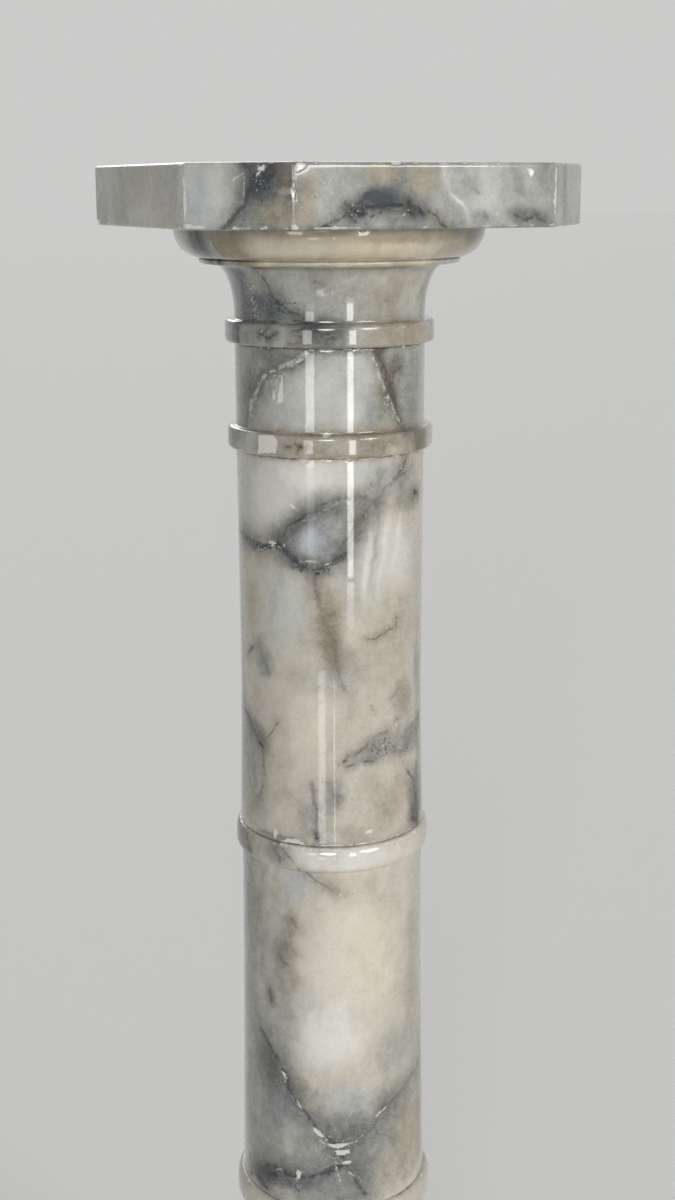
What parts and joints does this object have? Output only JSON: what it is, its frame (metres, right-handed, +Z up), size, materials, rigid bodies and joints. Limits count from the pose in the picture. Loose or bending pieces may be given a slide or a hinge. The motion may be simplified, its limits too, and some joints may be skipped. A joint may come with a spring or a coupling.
{
  "type": "pedestal column",
  "caption": "Plain Doric pedestal column of veined alabaster: canted square top slab, echinus capital, unfluted shaft with ring bands, moulded base and canted plinth.",
  "frame": {"origin": "middle of the plinth's underside, on the column's axis", "axes": "+Z up along the column's axis; X and Y square to the flat sides of the abacus and the plinth"},
  "size_m": [0.28, 0.28, 1.05],
  "materials": {
    "plinth_stone": "polished alabaster, grey cream with grey veins",
    "base_stone": "polished alabaster, warm cream",
    "lower_drum_stone": "polished alabaster, cream with grey clouds",
    "middle_drum_stone": "polished alabaster, cream white with grey veins",
    "upper_drum_stone": "polished alabaster, green grey and cream with dark veins",
    "neck_stone": "polished alabaster, pale grey with brown and grey veins",
    "capital_stone": "polished alabaster, tan and grey with a blue grey vein",
    "abacus_stone": "polished alabaster, grey with dark blue grey veins"
  },
  "bodies": {
    "root": {"plinth": "plinth_stone", "base_moulding": "base_stone", "lower_drum": "lower_drum_stone", "middle_drum": "middle_drum_stone", "upper_drum": "upper_drum_stone", "neck_drum": "neck_stone", "capital": "capital_stone", "abacus": "abacus_stone"}
  },
  "joints": []
}
